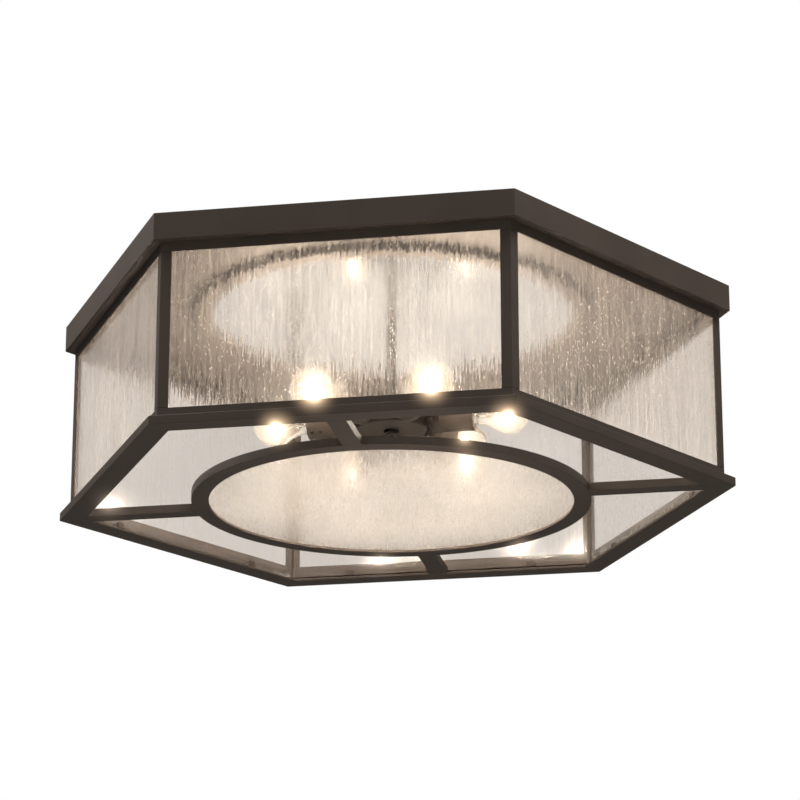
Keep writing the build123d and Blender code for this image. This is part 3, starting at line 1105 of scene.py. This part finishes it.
class CEILINGLIGHT_OT_lamps(Operator):
    """Build the six screw lamps: contact, threaded base, blown bulb, glass foot, wires and filament"""

    bl_idname = "ceiling_light.lamps"
    bl_label = "Lamps"

    def execute(self, context):
        settings = context.scene.ceiling_light_lamps
        shell = metal("lamp_shell", (0.68, 0.66, 0.62, 1), (0.80, 0.78, 0.74, 1), 0.24)
        glass = lamp_glass(settings)
        black = lamp_insulator()
        wire = metal("lead_wire", (0.45, 0.42, 0.38, 1), (0.6, 0.57, 0.52, 1), 0.35)
        glowing = glowing_filament(settings)

        base = lying_radius("bulb_base_1")
        sheet = 0.6 * MILLIMETRE
        neck = base - sheet - 0.15 * MILLIMETRE
        wall = 0.9 * MILLIMETRE
        end_mesh = self.end_mesh()
        base_mesh = self.base_mesh(settings, base, sheet)
        bulb_mesh = self.bulb_mesh(neck, wall)
        foot = 3.4 * MILLIMETRE
        foot_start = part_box("bulb_glass_1")[0].x
        foot_end = foot_start + 22 * MILLIMETRE
        foot_mesh = self.foot_mesh(foot, foot_start, foot_end, neck - wall)
        spread = 8 * MILLIMETRE
        wire_end = foot_end + 15 * MILLIMETRE
        wire_mesh = self.wire_mesh(foot, foot_end, spread, wire_end)
        coil_mesh = self.coil_mesh(settings, spread, wire_end)

        for lamp in LAMP_NUMBERS:
            place = lamp_place(lamp)
            own = {"body": f"lamp_{lamp}", "place": place}
            contact = {"body": f"lamp_{lamp}_contact", "place": place}
            put(f"lamp_end_{lamp}", end_mesh, black, "lamp_insulator", f"bulb_tip_{lamp}", **contact)
            put(f"lamp_base_{lamp}", base_mesh, shell, "lamp_shell", f"bulb_base_{lamp}", **own)
            keep_clear(put(f"bulb_{lamp}", bulb_mesh, glass, "lamp_glass", f"bulb_glass_{lamp}", **own))
            keep_clear(put(f"foot_{lamp}", foot_mesh, glass, "lamp_glass", **own))
            keep_clear(put(f"leads_{lamp}", wire_mesh, wire, "filament", **own))
            keep_clear(put(f"coil_{lamp}", coil_mesh, glowing, "filament", f"filament_{lamp}", **own))
        return {"FINISHED"}

    def end_mesh(self):
        """The black end with its round contact."""
        low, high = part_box("bulb_tip_1")
        button = 4.5 * MILLIMETRE
        shoulder = low.x + 1.2 * MILLIMETRE
        section = [
            (low.x, 0),
            (low.x, 0.7 * button),
            (low.x + 0.7 * MILLIMETRE, button),
            (shoulder, button),
            (shoulder, button + 1.5 * MILLIMETRE),
            (high.x, lying_radius("bulb_tip_1")),
            (high.x, 0),
        ]
        return turned("lamp_end", rounded(section, 0.5 * MILLIMETRE), steps=48)

    def base_mesh(self, settings, base, sheet):
        """The threaded sheet metal base, open at the end."""
        low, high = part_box("bulb_base_1")
        lip = base - 5 * MILLIMETRE
        outline = divided(low.x, high.x, settings.pitch / 9, base)
        outline += [
            (high.x, base - sheet),
            (low.x + sheet, base - sheet - settings.thread_depth),
            (low.x + sheet, lip),
            (low.x, lip),
        ]
        thread = settings.pitch, settings.thread_depth, low.x, high.x - 1.2 * settings.pitch
        return turned("lamp_base", outline, steps=64, thread=thread)

    def bulb_mesh(self, neck, wall):
        """The blown bulb, with a wall of one thickness."""
        low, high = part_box("bulb_glass_1")
        globe = lying_radius("bulb_glass_1")
        centre = high.x - globe
        curve = reach("bulb_base_1", 0) + MILLIMETRE
        outside = bulb_outline(low.x, curve, neck, globe, centre)
        hollow = bulb_outline(low.x, curve, neck - wall, globe - wall, centre)
        return turned("bulb", outside + hollow[::-1], steps=72)

    def foot_mesh(self, foot, start, end, neck_inner):
        """The glass foot that carries the lead wires."""
        section = [
            (start, 0),
            (start, neck_inner - 0.3 * MILLIMETRE),
            (start + 5 * MILLIMETRE, foot),
            (end - 3 * MILLIMETRE, foot),
            (end, 0.75 * foot),
            (end, 0),
        ]
        return turned("foot", rounded(section, 1.2 * MILLIMETRE), steps=40)

    def wire_mesh(self, foot, foot_end, spread, wire_end):
        """The two lead wires, which spread from the foot to the ends of the filament."""
        wire = 0.42 * MILLIMETRE
        bm = bmesh.new()
        for side in (-1, 1):
            start = Vector((foot_end - foot, 0, side * 0.6 * foot))
            bend = Vector((foot_end + 2 * MILLIMETRE, 0, side * 0.62 * foot))
            tube(bm, [start, bend, Vector((wire_end, 0, side * spread))], wire, sides=10)
        return to_mesh("leads", bm)

    def coil_mesh(self, settings, spread, wire_end):
        """The filament."""
        wire = 0.4 * MILLIMETRE
        coil = 2.2 * MILLIMETRE
        rise = 9 * MILLIMETRE
        bm = bmesh.new()
        tube(bm, coil_path(settings.coil_turns, coil, wire_end, spread, rise), wire, sides=6)
        return to_mesh("coil", bm)


# Stage


class CEILINGLIGHT_OT_stage(Operator):
    """Set the floor, the studio light, the light of the lamps and the camera"""

    bl_idname = "ceiling_light.stage"
    bl_label = "Stage"

    def execute(self, context):
        scene = context.scene
        settings = scene.ceiling_light_stage
        clear = bpy.data.collections["clear_pieces"]
        others = self.all_but(clear)
        self.lay_floor(scene, settings)
        self.paint_room(scene, settings)
        self.light_room(scene, settings, others)
        self.light_lamps(scene, scene.ceiling_light_lamps, clear, others)
        self.place_camera(scene, settings)
        self.spread_glare(scene)
        return {"FINISHED"}

    def lay_floor(self, scene, settings):
        bm = bmesh.new()
        bmesh.ops.create_grid(bm, x_segments=8, y_segments=8, size=6)
        bmesh.ops.translate(bm, verts=bm.verts, vec=(0, 0, settings.floor_level))
        mesh = to_mesh("studio_floor", bm)
        mesh.materials.append(pale_floor())
        floor = bpy.data.objects.new("studio_floor", mesh)
        scene.collection.objects.link(floor)

    def all_but(self, clear):
        """A collection that lets a light fall on every piece but the clear ones."""
        others = bpy.data.collections.new("all_but_clear_pieces")
        for piece in clear.objects:
            others.objects.link(piece)
        for member in others.collection_objects:
            member.light_linking.link_state = "EXCLUDE"
        return others

    def paint_room(self, scene, settings):
        """A room over a shaded ground, with a bright wall in the glass and white in the picture itself."""
        world = bpy.data.worlds.new("studio")
        scene.world = world
        world.use_nodes = True
        world.node_tree.nodes.clear()
        direction = Wire(world.node_tree.nodes.new("ShaderNodeTexCoord"), "Generated")
        behind = direction.add("SeparateXYZ", {}, {0: direction}, output="Y").ramp(-0.35, 0.35)
        above = direction.add("SeparateXYZ", {}, {0: direction}, output="Z").ramp(-0.3, 0.1)
        room = opaque(settings.room)
        around = direction.add("Background", {}, {"Color": above.blend(opaque(settings.ground), room)})
        through = direction.add("Background", {}, {"Color": behind.blend(room, opaque(settings.backdrop))})
        white = direction.add("Background", {}, {"Color": (1, 1, 1, 1)})
        in_glass = direction.add("LightPath", {}, {}, output="Is Transmission Ray")
        seen = direction.add("LightPath", {}, {}, output="Is Camera Ray")
        mixed = direction.add("MixShader", {}, {0: in_glass, 1: around, 2: through})
        mixed = direction.add("MixShader", {}, {0: seen, 1: mixed, 2: white})
        direction.add("OutputWorld", {}, {"Surface": mixed})

    def light_room(self, scene, settings, others):
        """Four soft lights, of which the low one is warm and falls on all but the clear pieces."""
        self.hang_soft_light(scene, "side_light", (1.0, -0.5, 1.7), settings.side_light, width=1.0)
        self.hang_soft_light(scene, "left_light", (-1.2, -0.3, 1.5), settings.left_light, width=1.0)
        self.hang_soft_light(scene, "front_light", (1.0, -2.4, -0.3), settings.front_light, width=0.9)
        low = self.hang_soft_light(scene, "low_light", (0.08, -0.22, -0.42), settings.low_light, width=0.2)
        low.data.color = 1, 0.93, 0.86
        low.light_linking.receiver_collection = others

    def light_lamps(self, scene, lamps, clear, others):
        """Three lights to a lamp: for the clear pieces' glow, for halos in the glazing and for the rest."""
        glazing = bpy.data.collections.new("glazing")
        for piece in ["disc"] + [f"pane_{side}" for side in SIDE_NUMBERS]:
            glazing.objects.link(bpy.data.objects[piece])
        far = reach("filament_1", 0) - 2 * MILLIMETRE
        for lamp in LAMP_NUMBERS:
            place = lamp_place(lamp) @ Vector((far, 0, 0))
            self.hang_lamp(scene, f"lamp_light_{lamp}", place, lamps.power, lamps.light, others)
            glow = self.hang_lamp(scene, f"lamp_glow_{lamp}", place, lamps.glass_power, lamps.light, clear)
            glow.visible_glossy = False
            halo = self.hang_lamp(scene, f"lamp_halo_{lamp}", place, lamps.halo_power, lamps.light, glazing)
            halo.visible_diffuse = False
            halo.visible_transmission = True

    def hang_soft_light(self, scene, name, place, power, width):
        """A square soft light that faces the middle of the fixture."""
        light = self.hang_light(scene, name, "AREA", place, power)
        light.data.size = width
        middle = Vector((0, 0, -0.1))
        light.rotation_euler = (middle - light.location).to_track_quat("-Z", "Y").to_euler()
        return light

    def hang_lamp(self, scene, name, place, power, colour, lit):
        """A small round light inside a bulb, for the pieces of one collection."""
        light = self.hang_light(scene, name, "POINT", place, power)
        light.data.color = colour
        light.data.shadow_soft_size = 7 * MILLIMETRE
        light.light_linking.receiver_collection = lit
        return light

    def hang_light(self, scene, name, kind, place, power):
        """A light that isn't seen itself, in the picture or through glass."""
        data = bpy.data.lights.new(name, kind)
        data.energy = power
        light = bpy.data.objects.new(name, data)
        light.location = place
        light.visible_camera = False
        light.visible_transmission = False
        scene.collection.objects.link(light)
        return light

    def place_camera(self, scene, settings):
        data = bpy.data.cameras.new("camera")
        data.lens = settings.lens
        data.sensor_width = SENSOR_WIDTH
        data.clip_end = 50
        camera = bpy.data.objects.new("camera", data)
        flat = cos(settings.elevation)
        azimuth = settings.azimuth
        back = Vector((sin(azimuth) * flat, -cos(azimuth) * flat, sin(settings.elevation)))
        camera.location = Vector(settings.aim) + back * settings.distance
        camera.rotation_euler = (-back).to_track_quat("-Z", "Y").to_euler()
        scene.collection.objects.link(camera)
        scene.camera = camera
        scene.view_settings.view_transform = "Standard"

    def spread_glare(self, scene):
        """The soft glow that a lens spreads round a lit filament."""
        scene.use_nodes = True
        tree = scene.node_tree
        tree.nodes.clear()
        layers = tree.nodes.new("CompositorNodeRLayers")
        glare = tree.nodes.new("CompositorNodeGlare")
        glare.glare_type = "BLOOM"
        bloom = {"Threshold": 1.3, "Strength": 1.0, "Tint": (4.4, 3.95, 3.5, 1.0), "Size": 0.03}
        for name, value in bloom.items():
            glare.inputs[name].default_value = value
        output = tree.nodes.new("CompositorNodeComposite")
        tree.links.new(layers.outputs["Image"], glare.inputs["Image"])
        tree.links.new(glare.outputs["Image"], output.inputs["Image"])


class CEILINGLIGHT_PT_sidebar(Panel):
    """Lists the steps that build the light, and their settings"""

    bl_label = "Ceiling light"
    bl_idname = "CEILINGLIGHT_PT_sidebar"
    bl_space_type = "VIEW_3D"
    bl_region_type = "UI"
    bl_category = "Ceiling light"

    def draw(self, context):
        for group in SETTINGS:
            box = self.layout.box()
            values = getattr(context.scene, group)
            for name in values.__annotations__:
                box.prop(values, name)
        for operator in STEPS:
            self.layout.operator(operator.bl_idname)


SETTINGS = {
    "ceiling_light_bronze": BronzeSettings,
    "ceiling_light_glass": GlassSettings,
    "ceiling_light_lamps": LampSettings,
    "ceiling_light_stage": StageSettings,
}

STEPS = (
    CEILINGLIGHT_OT_cap_and_cage,
    CEILINGLIGHT_OT_rings,
    CEILINGLIGHT_OT_glass,
    CEILINGLIGHT_OT_reflector,
    CEILINGLIGHT_OT_stem_and_fasteners,
    CEILINGLIGHT_OT_hub,
    CEILINGLIGHT_OT_lampholders,
    CEILINGLIGHT_OT_lamps,
    CEILINGLIGHT_OT_stage,
)


def register():
    for group, settings in SETTINGS.items():
        bpy.utils.register_class(settings)
        setattr(bpy.types.Scene, group, PointerProperty(type=settings))
    for step in STEPS:
        bpy.utils.register_class(step)
    bpy.utils.register_class(CEILINGLIGHT_PT_sidebar)


def unregister():
    bpy.utils.unregister_class(CEILINGLIGHT_PT_sidebar)
    for step in reversed(STEPS):
        bpy.utils.unregister_class(step)
    for group, settings in reversed(SETTINGS.items()):
        delattr(bpy.types.Scene, group)
        bpy.utils.unregister_class(settings)


def main():
    register()
    bpy.ops.ceiling_light.cap_and_cage()
    bpy.ops.ceiling_light.rings()
    bpy.ops.ceiling_light.glass()
    bpy.ops.ceiling_light.reflector()
    bpy.ops.ceiling_light.stem_and_fasteners()
    bpy.ops.ceiling_light.hub()
    bpy.ops.ceiling_light.lampholders()
    bpy.ops.ceiling_light.lamps()
    bpy.ops.ceiling_light.stage()


if __name__ == "__main__":
    main()
